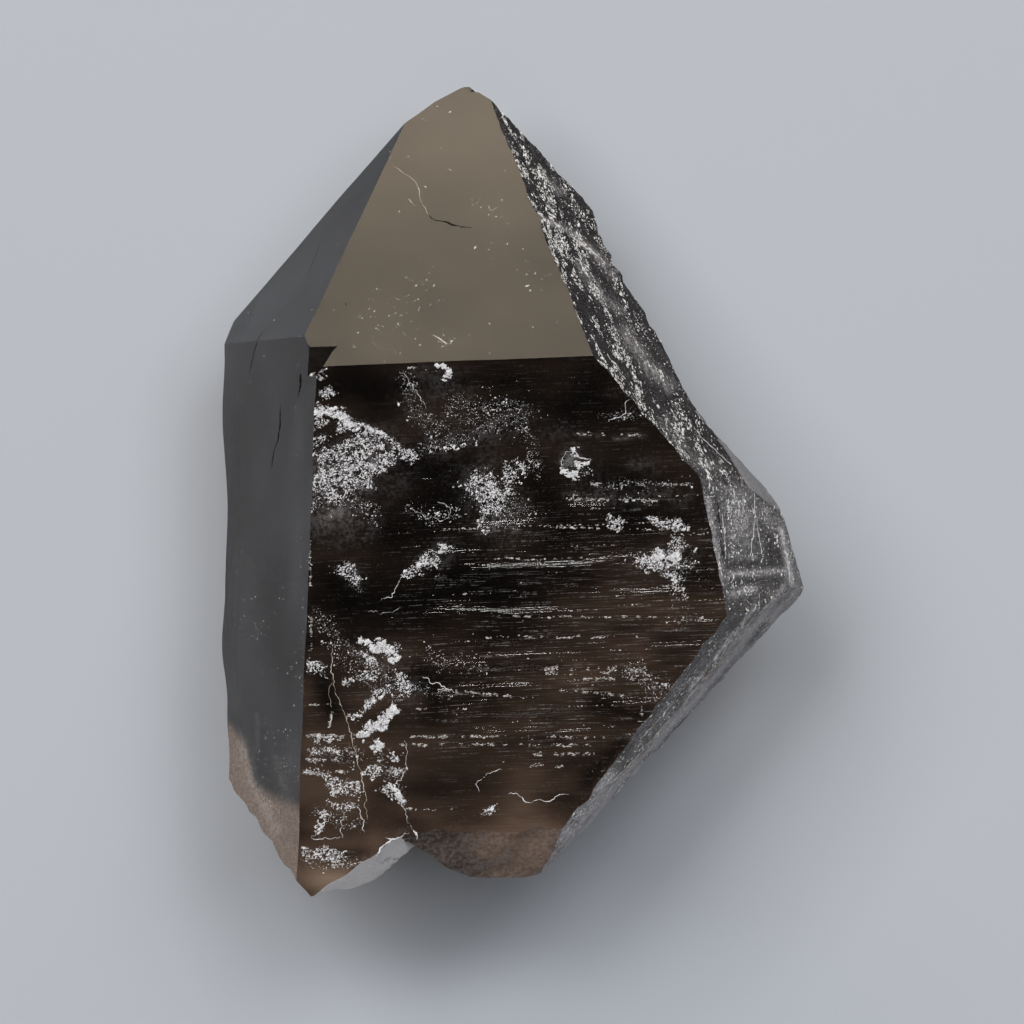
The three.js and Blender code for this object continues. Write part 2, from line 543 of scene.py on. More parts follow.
def makeSkin():
    # The skin is where rays from the long axis to the box's grid meet the joined bodies' faces.
    # The grid is drawn onto the creases first, and each triangle then gets the face at its middle.
    start, aim = rayGrid()
    _, label, every = skinPoints(start, aim)
    start, aim = snapToCreases(start, aim, label, every)
    points, label, _ = skinPoints(start, aim)
    poles = np.array([
        [skin["lowAim"][0], skin["boxLowY"], skin["lowAim"][1]],
        [skin["tipAim"][0], skin["boxHighY"], skin["tipAim"][1]],
    ])
    poleStart = axisBeside(poles)
    poleEnds = skinPoints(poleStart, poles - poleStart)[0]
    triangles = gridTriangles(start, aim, points, label)
    points = np.concatenate([points, poleEnds])
    points[:, 2] = np.maximum(points[:, 2], -faces["bottom"][2])  # nothing sinks into the floor
    middle = points[triangles].mean(axis=1)
    middleStart = axisBeside(middle)
    label = skinPoints(middleStart, middle - middleStart)[1]
    piece = buildMesh("quartzCrystal", points, triangles)
    piece.data.set_sharp_from_angle(angle=math.radians(skin["creaseAngle"]))
    return piece, points, triangles, label


quartzCrystal, skinVertices, skinTriangles, skinLabel = makeSkin()
print("skin:", len(skinVertices), "points,", len(skinTriangles), "triangles")

# The right side's faces, from the etched flank to the sloping low end
flankFaces = [
    "rightPoint", "stepTwoFace", "edgeUpper", "edgeMiddle", "rightPrism", "rightEnd", "rightEndEdge",
    "stepOneSlope", "stepTwoSlope", "stepThreeSlope", "stepOneSide", "stepTwoSide", "stepThreeSide",
]

# Marks on the faces, by kind, in mm. A row of plainMarks is a half width and then the x and y of
# each corner of the mark's path, seen from above. A row of shadedMarks has its strength second.
plainMarks = {
    "nettedCrust": [  # where white crust lies as a net
        (1.6, -19, 9.8, -18.9, 4), (1.8, -16.4, 8.6, -17.4, 3.4), (1.6, -13.8, 7.6, -15.4, 4.2),
        (1, -12, 7, -13, 5.2), (0.6, -11.2, 6.8, -9.8, 6), (0.85, -19, 14.2, -18, 12.8),
        (1, -3.2, 3.2, -1.6, 2.4, -2.4, 0.6), (0.8, -0.2, 4.4, -0.6, 2.2), (0.5, 0.8, 5, 1.4, 3.8),
        (0.8, -3, -1.2, -1.8, -0.6), (0.55, -8.2, -4.2, -9.3, -4.8, -10.8, -5.8),
        (0.7, -17, -5, -16, -5.8), (0.75, 13, -5.6, 15.2, -5.1, 17.4, -5.4),
        (0.45, 15.8, -3.7, 17.3, -4.1), (0.5, 14, -1.3, 15.6, -1.8, 17.3, -2.3),
        (0.55, 9.7, -0.9, 10.7, -1.9), (0.4, -17.2, -16.4, -15.6, -15.8, -14.6, -15),
        (0.45, -15.4, -13.6, -14.2, -15.2), (0.62, -13, -15.4, -11.6, -16.2, -11, -17.4),
        (0.45, -15.6, -18.4, -13.8, -17.4, -12.2, -16.8), (0.36, -16.6, -20, -15.2, -18.9),
        (0.75, -19, -26.6, -16.9, -27.2), (0.32, -19.6, -28.2, -18.6, -28.9, -17.2, -28.7),
        (0.6, -13.6, -26.7, -12.7, -28.2), (0.5, -22.2, -33.3, -18.6, -33.6),
        (0.42, -20, -29.6, -20.9, -31), (0.25, -8, 6.2, -6.4, 6.6, -4.6, 6.8),
        (0.4, -12.8, -24.9, -11.9, -25.3), (0.4, 15.2, -7, 16.6, -7.3),
        (0.5, -3.8, -29.9, -2.9, -29.8), (0.34, -21, -22.9, -18.4, -23.2),
        (0.3, -21.3, -25.2, -19.4, -25.4), (0.3, -21, -21.7, -18.6, -21.9),
        (0.45, -20.6, -14.8, -19, -15.2), (0.28, -15.8, -25.6, -14, -25.2),
    ],
    "solidCrust": [  # and where it is closed
        (0.36, -19.1, 10.9, -17.4, 10.4, -15.7, 9.4), (0.24, -15.7, 9.4, -13.6, 8.9, -12.3, 7.9),
        (0.42, -15.5, -12.2, -14.8, -12.6, -14, -12.9), (0.66, -14, -12.7, -12.4, -13.6),
        (0.6, -15, -21.2, -14, -20.4), (0.55, -13.6, -20, -12.7, -19.4),
        (0.28, -16.4, -21.9, -15.2, -21.4), (0.4, -14.4, -22.8, -14.1, -22.9),
        (0.32, -12.7, -23.5, -12.4, -23.7), (0.2, 5.3, 3.8, 6.5, 3.6), (0.2, 6.9, 4.6, 7.9, 4.8),
        (0.1, 6.1, 5.9, 6.6, 5.7), (0.22, -6.1, 14.6, -6, 13.4), (0.14, -6.6, 14.7, -5.6, 14.6),
        (0.32, -7, -3.1, -6.4, -3), (0.3, -9.8, -5, -9.2, -4.8), (0.2, -3.5, -29.9, -3.1, -29.7),
        (0.34, 14, -5, 14.6, -5.2), (0.34, 16.2, -5.3, 16.9, -5.2), (0.4, -12.6, -27, -12.4, -28),
        (0.3, -19.6, -29.9, -20.4, -30.8),
    ],
    "crustSlits": [  # dark slits through it
        (0.32, -19.3, 8.5, -17.2, 9.8), (0.42, -18, 7.5, -14.9, 9), (0.26, -19.5, 6.9, -18, 7.9),
        (0.24, -12.8, 8.2, -11.9, 6.6), (0.3, -19.7, 4.6, -19.5, 5.9),
        (0.2, -16.2, 6.4, -15.2, 7.2), (0.2, -14.4, 5.6, -13.2, 6.6),
        (0.14, -12.6, -4.9, -9.6, -3.4), (0.25, -1.4, 3.6, -0.8, 2.2),
    ],
    "looseDust": [  # thin scattered crust
        (1.1, -8.4, 6.6, -5.9, 7.4, -3.4, 8.1, -0.8, 8.7), (1.3, -10, 13.6, -9.2, 11, -7.4, 9),
        (2, -5, 10.4, 1, 9.6), (0.8, 1.6, 7.9, 2.4, 5.6, 2.9, 3.6), (2.2, -3, 3, 0, 0),
        (0.45, 8, 2.4, 17.6, 2), (0.4, 6, 1, 14.6, 0.6), (1.1, 12.4, -5.6, 17.6, -6),
        (0.9, -10.2, 0.6, -8.2, -0.4, -6.2, 0.2), (0.7, -18, -5, -15.4, -6.8),
        (1.9, -17, -13.6, -12, -17.4), (1.1, -20.8, -23.4, -17, -23.6),
        (1.2, -14.4, -23.4, -12.2, -27.6), (0.8, 10, 9, 12.4, 9.6), (0.9, -21, -29.4, -16.6, -30.6),
        (1.2, -20.4, 2, -14, 1), (0.9, -22, -33.8, -16.4, -34.6), (0.8, -9.4, -17.6, -7.4, -18),
        (0.7, 5.4, 4.4, 8, 3.6), (1, -8.8, -14.2, -3.6, -15.6), (1.4, -19.6, -10, -17, -14),
        (0.8, 16.2, -7.6, 16, -12), (1.2, 11, -16.6, 15, -18.6),
    ],
    "speckRows": [  # specks in the growth lines of the broad face
        (0.1, -9.9, 14.8, -8, 14.5), (0.07, -0.6, 13, 1.4, 13), (0.07, -3.4, 10.3, -1.2, 10.3),
        (0.13, 8, 2.5, 17.6, 2), (0.12, 6, 1, 14.6, 0.6), (0.09, 3, -1.6, 17.6, -2.6),
        (0.08, -2, -4.6, 9, -5), (0.13, 14.5, -7.9, 17.3, -8.4), (0.1, -2, -10.4, 11, -10.9),
        (0.12, 12, -10.9, 18.6, -11.4), (0.1, -7.4, -13.9, -3.8, -14.1), (0.09, -3, -12.4, 12, -13),
        (0.2, 1.8, -15.8, 7.6, -15.9, 13.2, -16.4), (0.13, 2.6, -16.3, 9, -16.5),
        (0.14, 5, -16.9, 15, -17.4), (0.11, -8, -17.5, -1, -18.3), (0.14, 3.2, -17.9, 11, -18.8),
        (0.1, -12, -19.2, -5.4, -19.5), (0.11, -12, -22, 8.3, -22.9),
        (0.12, -12, -22.8, 8.3, -23.7), (0.18, 1.4, -24.3, 7.9, -24.5),
        (0.13, 0.9, -25.4, 4.8, -25.6), (0.1, -11.9, -29.2, -6.2, -29.5),
        (0.09, 12, -17.5, 12.1, -18.6), (0.09, 12.1, -20, 12.2, -20.9),
        (0.18, -21.2, -21.6, -17, -21.8), (0.18, -21.3, -23, -16.6, -23.1),
        (0.16, -21.4, -24, -17.6, -24.1), (0.17, -21.4, -25.2, -16.8, -25.3),
        (0.15, -15.2, -24.8, -13.4, -25.5, -11.9, -25.6), (0.12, -15, -27.2, -12.6, -27.6),
        (0.1, -19.4, -34.6, -16.2, -34.5), (0.1, -21, -18.4, -19, -18.5),
        (0.11, -20.9, -12.2, -20.9, -14.6), (0.11, -8, -19.6, -6.4, -20),
        (0.06, -21, 12.2, -20.2, 11), (0.1, 6.9, 7.6, 13.4, 7.2), (0.1, -19.1, -20.7, -18.8, -19.3),
        (0.09, -20.2, 3.2, -20.6, -13),
    ],
    "leftSpecks": [  # groups of specks on the left and point faces
        (0.4, -9.4, 32.5, -8.8, 31.9), (0.8, -2, 31.6, -0.4, 30.6), (0.6, -6.8, 18.6, -5.8, 17.2),
        (2.4, -12, 20.4, -9, 22.6), (1.6, 0, 26, 4, 24), (1.2, -14.6, 18, -12, 16.8),
        (0.7, -22.2, -0.4, -21.4, -1.6), (1, -28, -10, -26.4, -11),
        (0.5, -22.6, -13.4, -22.4, -16.6), (1, -26.4, -23.6, -23.2, -25.2),
        (0.9, -25.6, -21, -22.8, -22.4), (0.35, -25.6, -27.4, -22.9, -28.6),
        (0.25, -21.3, -4, -21.7, -20), (0.3, -20.9, 2, -20.9, -3), (0.2, -28, -7.8, -23, -8),
        (0.2, -26, -14, -22.8, -15.5), (0.8, -27, -27.6, -24, -31),
    ],
    "darkClouds": [  # where the brown veil thins and the smoke shows black
        (4.2, -12, -1.6, -6, 0.4), (4, -4, -6.6, -1.4, -8.4), (2.6, -9.6, 5, -6, 3.6),
        (3, 2.6, 2.4, 5, -1), (3.4, -17, -9, -9, -8.6), (1.4, -9.6, -15.6, -8.4, -18.8),
        (2.6, -15.4, 13.4, -13, 12), (3, 6, 9.4, 9, 13), (1.4, -19.6, -16.4, -18.8, -19),
        (2, 8, -19.6, 12, -21), (1.2, 6.6, -27, 10, -23.6),
    ],
}
shadedMarks = {
    "paleHaze": [  # pale clouds in the broad face
        (2.2, 0.15, -18.6, 0.6, -16, 0.2), (3, 0.12, -19.2, 4, -13.6, 5.4),
        (1.8, 0.06, -6.6, 7.4, 0.4, 9.2), (1.6, 0.05, -8.6, 13.6, -5, 12.6),
        (0.26, 0.1, 7, 7.5, 9, 7.25), (0.22, 0.12, 10.6, 6.9, 13.4, 7.1),
        (2.6, 0.08, -2.6, 3.2, -1, -0.4), (0.8, 0.5, 6, 4.9, 6.2, 5.1),
        (0.5, 0.12, -2.8, -1.6, 0.4, -1.8), (1, 0.1, -16.6, -5.4, -16, -5.8),
        (2, 0.05, -9, 12.6, -8, 9.4), (1.4, 0.06, 13, -5.4, 17.4, -5.4),
        (2, 0.06, -13.8, -14.4, -12, -17), (1.2, 0.08, -9, -4.6, -7, -3.6),
        (1.6, 0.04, 4.6, 7.4, 8.6, 2.4), (0.9, 0.07, 12.6, 4.4, 14, 4), (1, 0.05, 6, 1.6, 17, 0.8),
    ],
    "bandPale": [  # silvery clouds and streaks on the right side's faces
        (1.9, 0.3, 22.7, 0.6, 22.8, -3), (1, 0.24, 25.8, -0.9, 26.6, -2.3),
        (0.34, 0.42, 21.5, -7.1, 24.3, -7.1, 27.3, -7.1), (0.13, 0.6, 21.5, -5.4, 24.4, -5.5),
        (0.12, 0.35, 24.7, -4.2, 26.8, -4.3),
        (0.34, 0.66, 27.4, -2.9, 27.6, -4.3, 28, -6.6, 28.3, -8.4),
        (0.45, 0.42, 19.6, 0.4, 19.9, -2.3, 20.3, -5.3, 20.7, -7.6),
        (0.5, 0.28, 4.5, 34.7, 6.3, 32.9), (0.4, 0.45, 4.9, 29.5, 7.3, 28.5, 9.1, 26.8, 10.5, 25.1),
        (0.6, 0.28, 8, 24.9, 9.9, 21.7, 11.9, 20.2), (0.8, 0.34, 12.2, 18, 14.6, 14, 16.4, 12.3),
        (0.9, 0.17, 15.6, 8.4, 18.6, 4.2, 21, 3.4), (0.7, 0.25, 9.6, 26.2, 11.4, 24),
        (0.45, 0.45, 21.7, -9.1, 24, -8.7),
        (0.34, 0.4, 27.3, -8.7, 23.1, -13.9, 18.3, -19.3, 13, -24.6, 7.7, -28.7),
        (0.26, 0.4, 24.3, -10.4, 20.9, -14.2, 17.2, -18.6), (1.8, 0.42, 8.4, -27.6, 4, -32.4),
        (0.3, 0.3, 29, -9, 25.4, -13.1, 20.6, -18.4, 15, -24.2),
    ],
    "bandDark": [  # and the blackened stretches between them
        (0.9, 0.5, 25.7, -3.7, 26.7, -5.7), (0.35, 0.5, 21.7, -6.3, 26.7, -6.3),
        (0.35, 0.45, 21.9, -8, 26.6, -8), (0.5, 0.35, 21.4, 0.8, 21.9, -0.8),
        (0.7, 0.3, 26.4, -0.4, 27, -2.6),
        (0.7, 0.3, 21.9, -10.7, 18.2, -15.6, 14, -20.4, 9.8, -24.7),
        (0.35, 0.5, 25.8, -12.4, 21.5, -16.8, 17.2, -21.4, 13, -25.6),
    ],
    "leftPale": [  # light streaks in the left face's brown corner
        (0.7, 0.16, -28.4, -22.6, -27.6, -26, -26.2, -28.9, -25, -31.2),
        (0.5, 0.1, -24.6, -24, -24, -27), (0.3, 0.1, -26.6, -19.4, -26.9, -23),
    ],
    "bevelHighlights": [  # painted highlights: the two bright stretches of the bevel beside the notch
        (1.5, 1, -20.6, -36.8, -18.4, -36.6, -16.2, -35.6), (1.2, 1, -13.4, -33, -11.2, -31.6),
    ],
}

# The x and y of the upper limit of the left face's brown low corner
brownBorder = [
    (-30.6, -20.0), (-29.4, -21.0), (-28.2, -22.0), (-27.8, -24.2), (-27.2, -26.4), (-25.8, -27.3),
    (-22.4, -28.5),
]


def pathOf(numbers):
    # x, y, x, y and so on as a list of corners
    return list(zip(numbers[::2], numbers[1::2]))


marks = {kind: [(pathOf(row[1:]), row[0]) for row in rows] for kind, rows in plainMarks.items()}
shades = {kind: [(pathOf(row[2:]), *row[:2]) for row in rows] for kind, rows in shadedMarks.items()}


def shadeOf(kind, points):
    # The strongest of some soft marks at each point
    shade = np.zeros(len(points))
    for path, reach, amount in shades[kind]:
        shade = np.maximum(shade, amount * bell(distanceTo(path, points), reach))
    return shade


def coverOf(kind, points, outer, inner):
    # 1 well inside the marks of a kind and 0 outside them, with a smooth slope between these two
    # distances from a mark's path, which are in its own half widths
    cover = np.zeros(len(points))
    for path, reach in marks[kind]:
        cover = np.maximum(cover, rise(-distanceTo(path, points) / reach, -outer, -inner))
    return cover


def raggedFrom(points):
    # The same places, shifted about by lumps of two sizes, which frays the outline of a mark
    shift = [0.45 * lumps(points, 0.9, seed) + 0.30 * lumps(points, 0.35, seed + 5) for seed in (53, 54)]
    return points + np.stack([*shift, np.zeros(len(points))], 1)


def closedIn(points):
    # 1 where crust is closed and 0 in its dark holes: listed slits, and smaller ones from
    # lumps that are all drawn out along the same slant
    slanted = slantOf(points)
    field = lumps(slanted, (2.2, 0.8, 3), 47) + 0.7 * lumps(slanted, (1.0, 0.4, 3), 48)
    closed = rise(field, -0.72, -0.36)
    for path, reach in marks["crustSlits"]:
        closed *= 1 - rise(-distanceTo(path, points) / reach, -1.25, -0.75)
    return closed


def slantOf(points):
    # The broad face's own x and y turned to the slant along which its crust is drawn out
    return points @ np.array([[0.80, 0.60, 0], [-0.60, 0.80, 0], [0, 0, 1]]).T


shading = {
    "netCrust": 0.46,  # the crust where a mark of each kind is whole, from 0 to 1
    "looseCrust": 0.245,
    "solidCrust": 0.75,
    "paintedBevelHighlight": 0.42,
    "cloudCut": 0.85,  # the share of the brown veil that a dark cloud takes away
    "tanSheen": 0.03,  # painted warm sheen on the tan face, and what its brighter upper end has besides
    "tipSheen": 0.14,
    "lowLeftVeil": 0.40,  # brown veil and frosting added in the left face's low corner
    "lowLeftFrost": 0.12,
    "etchedShade": 0.66,  # painted shade that dims fully etched, half etched and left point faces
    "partEtchedShade": 0.12,
    "leftPointShade": 0.14,
    # tone 3 gives the tan colour of the painted warm sheen
    "tanSheenTone": 3.0,
    "leftTone": 1.2,
}


def crustMask():
    # About half where a net may lie, a quarter in loose dust and three quarters in solid crust,
    # the net and the solid crust broken by slanting holes
    ragged, closed = raggedFrom(skinVertices), closedIn(skinVertices)
    net = shading["netCrust"] * coverOf("nettedCrust", ragged, 1.3, 0.8) * (0.12 + 0.88 * closed)
    loose = shading["looseCrust"] * coverOf("looseDust", ragged, 1.2, 0.4)
    solid = shading["solidCrust"] * coverOf("solidCrust", ragged, 1.2, 0.8) * (0.5 + 0.5 * closed)
    return np.maximum(np.maximum(net, loose), solid)


def cornerMasks():
    # The finish of each triangle's face, shaded by the listed marks and by a veil that
    # thickens towards the broken end, partly haze in the stone and partly painted glow of light
    # through the thinner end. Values stay crisp at the creases, because each corner of a
    # triangle takes its own face's finish. Tone goes from 0, black smoke, over 1, brown, and
    # 2, amber, to 3, tan, a painted warm sheen on the point face and the pale bevel. Turn is 0
    # where fine lines run across the prism, 1 down the flank and 2 along the low end.
    x, y = skinVertices[:, 0], skinVertices[:, 1]
    mottle = crumble(skinVertices, (6, 3.4, 6), 42)
    # The brown veil thickens towards the broken end and the low left tip, partly haze and partly painted
    # glow of light through the thinner crystal there; topTone warms it to amber.
    lowTipGlow = bell(np.hypot(x + 20, y + 37), 3.6)
    hazeAndGlowLayout = 0.55 + 0.75 * rise(-y, 3, 25)
    hazeAndGlowLayout += 0.55 * bell(np.hypot(x - 14, y + 13), 8.0) * rise(-y, 0, 4)
    hazeAndGlowLayout += 1.3 * rise(-y, 25, 33) + 2.4 * lowTipGlow
    hazeAndGlowLayout *= 1 + 0.40 * lumps(skinVertices, (9, 1.2, 9), 41) + 0.55 * mottle
    for path, reach in marks["darkClouds"]:
        hazeAndGlowLayout *= 1 - shading["cloudCut"] * bell(distanceTo(path, skinVertices), reach)
    rows = (0.25 + 0.75 * rise(-y, -3, 4)) * (1 - 0.7 * rise(-y, 21, 26))
    rows *= 0.3 + 0.7 * rise(x, -14, -4)
    crust = crustMask()
    wander = 0.5 * lumps(skinVertices, 3.0, 44)
    border = np.interp(x, *zip(*brownBorder)) + 0.35 * wander
    lowLeft = rise(border - y, -0.7, 1.1)  # where the left face turns brown
    drawn = lumps(skinVertices @ flankAxes.T, (5, 1.6, 1.6), 43)
    silver, black, streaks, highlightsOnBevel = (
        shadeOf(kind, skinVertices) for kind in ("bandPale", "bandDark", "leftPale", "bevelHighlights"))
    # Painted sheen: the tan face is made lighter towards its upper end
    paintedTipSheen = shading["tipSheen"] * rise(y, 22, 40) + 0.03 * mottle
    topTone = 0.55 + 0.45 * rise(-y, 8, 26) + 0.3 * mottle + 0.6 * lowTipGlow
    topTone = np.maximum(topTone, 0.95 * rise(-y, 26, 32))
    brokenTone = 1.0 + 0.4 * lumps(skinVertices, 4.0, 45) + 0.3 * mottle
    breakShade = 1 + 0.45 * mottle + 0.12 * lumps(skinVertices, 1.1, 46)
    breakShade *= 0.35 + 0.65 * rise(x, -7, -3)

    def faceIs(*names):
        return np.isin(skinLabel, [partNumber[name] for name in names])[:, None]

    def perCorner(values):
        return values[skinTriangles]

    onTop, onLeft, onTan = faceIs("top"), faceIs("leftPrism"), faceIs("topPoint")
    onBand = faceIs(*flankFaces)
    finish = finishTable[skinLabel]
    growth, etch, frost, veil = (np.repeat(finish[:, [column]], 3, axis=1) for column in (0, 1, 4, 5))
    isBroken = np.repeat(finish[:, [3]], 3, axis=1) > 0.3
    low = perCorner(lowLeft) * onLeft
    veil = np.where(onTop, veil * np.maximum(perCorner(hazeAndGlowLayout), 0.03), veil)
    # On the tan face the veil is a painted warm sheen
    veil = np.where(onTan, shading["tanSheen"] + perCorner(paintedTipSheen), veil)
    veil = veil + shading["lowLeftVeil"] * low
    slanted = slantOf(skinVertices)
    wisps = rise(lumps(slanted, (2.6, 1.0, 3), 49) + 0.6 * lumps(slanted, (1.2, 0.7, 3), 50), -0.6, 0.7)
    frost = np.where(onTop, perCorner(shadeOf("paleHaze", skinVertices) * (0.25 + wisps)), frost)
    frost = np.where(onBand, frost * (1 + 0.8 * perCorner(drawn)) + perCorner(silver), frost)
    veil = np.where(isBroken & ~onLeft, veil * perCorner(breakShade), veil)
    frost = np.where(onLeft, frost + perCorner(streaks), frost) + shading["lowLeftFrost"] * low
    # Painted light on the pale bevel: its highlights raise the frosting and are drawn with the crust's
    # chalk.
    onBevel = faceIs("paleBevel")
    paintedBevelHighlight = shading["paintedBevelHighlight"] * highlightsOnBevel
    mottleAndHighlight = 0.80 + 0.6 * highlightsOnBevel + 0.35 * crumble(skinVertices, 1.2, 85)
    frost = np.where(onBevel, frost * perCorner(mottleAndHighlight), frost)
    # Painted shade: etched faces and the left point face are darkened, which dims their reflections; the
    # flank's dark stretches from bandDark add to it.
    paintedEtchShade = shading["etchedShade"] * (etch > 0.9) + shading["partEtchedShade"] * (etch > 0.3)
    paintedPointShade = shading["leftPointShade"] * (1 + rise(y, 22, 36))
    dark = np.where(onBand, paintedEtchShade + perCorner(black), 0.0)
    dark = np.where(faceIs("leftPoint"), perCorner(paintedPointShade), dark)
    tone = np.where(onTop, perCorner(topTone), np.where(isBroken, perCorner(brokenTone), 1.0))
    tone = np.where(onLeft, shading["leftTone"] + 0.5 * low + 0.2 * perCorner(mottle), tone)
    turn = onBand * 1.0 + faceIs("rightEnd", "rightEndEdge") - faceIs("rightPrism", "edgeMiddle")
    return {
        "growth": np.where(onTop, growth * perCorner(rows), growth),
        "etch": etch,
        "veil": np.clip(veil, 0, 1),
        "dark": np.clip(dark, 0, 1),
        "frost": np.clip(frost, 0, 1),
        # On the pale bevel the crust mask carries painted highlights, and the bevel takes tone 3, the
        # painted warm sheen.
        "crust": np.where(onTop, perCorner(crust), perCorner(paintedBevelHighlight) * onBevel),
        "tone": np.where(onTan | onBevel, shading["tanSheenTone"], np.clip(tone, 0, 2)),
        "turn": np.repeat(turn, 3, axis=1),
    }


for maskName, values in cornerMasks().items():
    layer = quartzCrystal.data.attributes.new(maskName, "FLOAT", "CORNER")
    layer.data.foreach_set("value", np.asarray(values, np.float32).ravel())
print("masks painted")


class Wire:
    # A shader socket that takes arithmetic: each sign adds one Math node, whichever side of a
    # number it stands on. A wire with no socket stands for the whole node tree.
    def __init__(self, tree, socket=None):
        self.tree, self.socket = tree, socket

    def node(self, kind, settings=None, sockets=None, output=0):
        made = self.tree.nodes.new(kind)
        for setting, value in (settings or {}).items():
            setattr(made, setting, value)
        for name, value in (sockets or {}).items():
            if isinstance(value, Wire):
                self.tree.links.new(value.socket, made.inputs[name])
            else:
                made.inputs[name].default_value = value
        return Wire(self.tree, made.outputs[output] if made.outputs else None)

    def math(self, operation, *values):
        return self.node("ShaderNodeMath", {"operation": operation}, dict(enumerate(values)))

    def __add__(self, other):
        return self.math("ADD", self, other)

    def __radd__(self, other):
        return self.math("ADD", other, self)

    def __sub__(self, other):
        return self.math("SUBTRACT", self, other)

    def __rsub__(self, other):
        return self.math("SUBTRACT", other, self)

    def __mul__(self, other):
        return self.math("MULTIPLY", self, other)

    def __rmul__(self, other):
        return self.math("MULTIPLY", other, self)

    def __truediv__(self, other):
        return self.math("DIVIDE", self, other)

    def __rtruediv__(self, other):
        return self.math("DIVIDE", other, self)

    def absolute(self):
        return self.math("ABSOLUTE", self)

    def rise(self, low, high):
        # 0 below low, 1 above high and a smooth slope between
        return self.node("ShaderNodeMapRange", {"interpolation_type": "SMOOTHSTEP"},
                         {"Value": self, "From Min": low, "From Max": high})

    def held(self):
        return self.math("MINIMUM", self.math("MAXIMUM", self, 0.0), 1.0)

    def mix(self, placeA, placeB):
        # From place A to place B as this wire goes from 0 to 1. A Mix node has a set of sockets
        # for each kind of data, with the same names, so these go by number.
        return self.node("ShaderNodeMix", {"data_type": "VECTOR"}, {0: self, 4: placeA, 5: placeB}, 1)

    def blend(self, colourA, colourB):
        # From colour A to colour B as this wire goes from 0 to 1
        return self.node("ShaderNodeMix", {"data_type": "RGBA"}, {0: self, 6: colourA, 7: colourB}, 2)


def newMaterial(name):
    material = bpy.data.materials.new(name)
    material.use_nodes = True
    material.node_tree.nodes.clear()
    return material, Wire(material.node_tree)


def finishMaterial(sheet, surface, volume=None):
    sockets = {"Surface": surface}
    if volume:
        sockets["Volume"] = volume
    sheet.node("ShaderNodeOutputMaterial", {"is_active_output": True}, sockets)


def placeInMm(sheet, axes=None, stretch=(1, 1, 1)):
    # Object coordinates in mm from the crystal's centre, turned to lie along three axes and then
    # stretched. A Mapping of the texture kind subtracts, turns back and divides.
    coordinates = sheet.node("ShaderNodeTexCoord", output="Object")
    turn = (0.0, 0.0, 0.0) if axes is None else tuple(Matrix(np.transpose(axes).tolist()).to_euler())
    return sheet.node("ShaderNodeMapping", {"vector_type": "TEXTURE"}, {
        "Vector": coordinates, "Location": tuple(crystalCentre), "Rotation": turn,
        "Scale": tuple(mm / amount for amount in stretch)})


def noise(sheet, place, scale, detail=2.0, roughness=0.5):
    return sheet.node("ShaderNodeTexNoise", {}, {
        "Vector": place, "Scale": scale, "Detail": detail, "Roughness": roughness})


smoke = {
    "ior": 1.544,
    "roughness": 0.05,
    "etchedRoughness": 0.20,  # added where the face is etched
    "tanRoughness": 0.24,  # and on the tan face
    "absorbColour": (0.25, 0.17, 0.10),
    "absorbDensity": 100.0,
    # brown and amber veils are partly haze and partly painted glow of light through thin crystal
    "blackVeilColour": (0.075, 0.050, 0.040, 1.0),
    "brownVeilColour": (0.27, 0.175, 0.125, 1.0),
    # the tan of the painted warm sheen
    "amberVeilColour": (0.44, 0.33, 0.25, 1.0),
    "tanSheenColour": (0.42, 0.36, 0.28, 1.0),
    # painted shade, with the flank's dark stretches, blends the haze to this near black
    "paintedShadeColour": (0.012, 0.013, 0.017, 1.0),
    "frostColour": (0.62, 0.61, 0.64, 1.0),
    "crustColour": (0.70, 0.70, 0.73, 1.0),
    "crustShade": (0.30, 0.30, 0.33, 1.0),
    "crustFill": 2.2,  # the higher, the less crust mask it takes to close the lace
    "laceThinness": 11.0,
    "lineHeight": 0.018,  # mm of the fine growth lines, and of the lines and grain of etching
    "etchLineHeight": 0.10,
    "etchGrainHeight": 0.13,
}


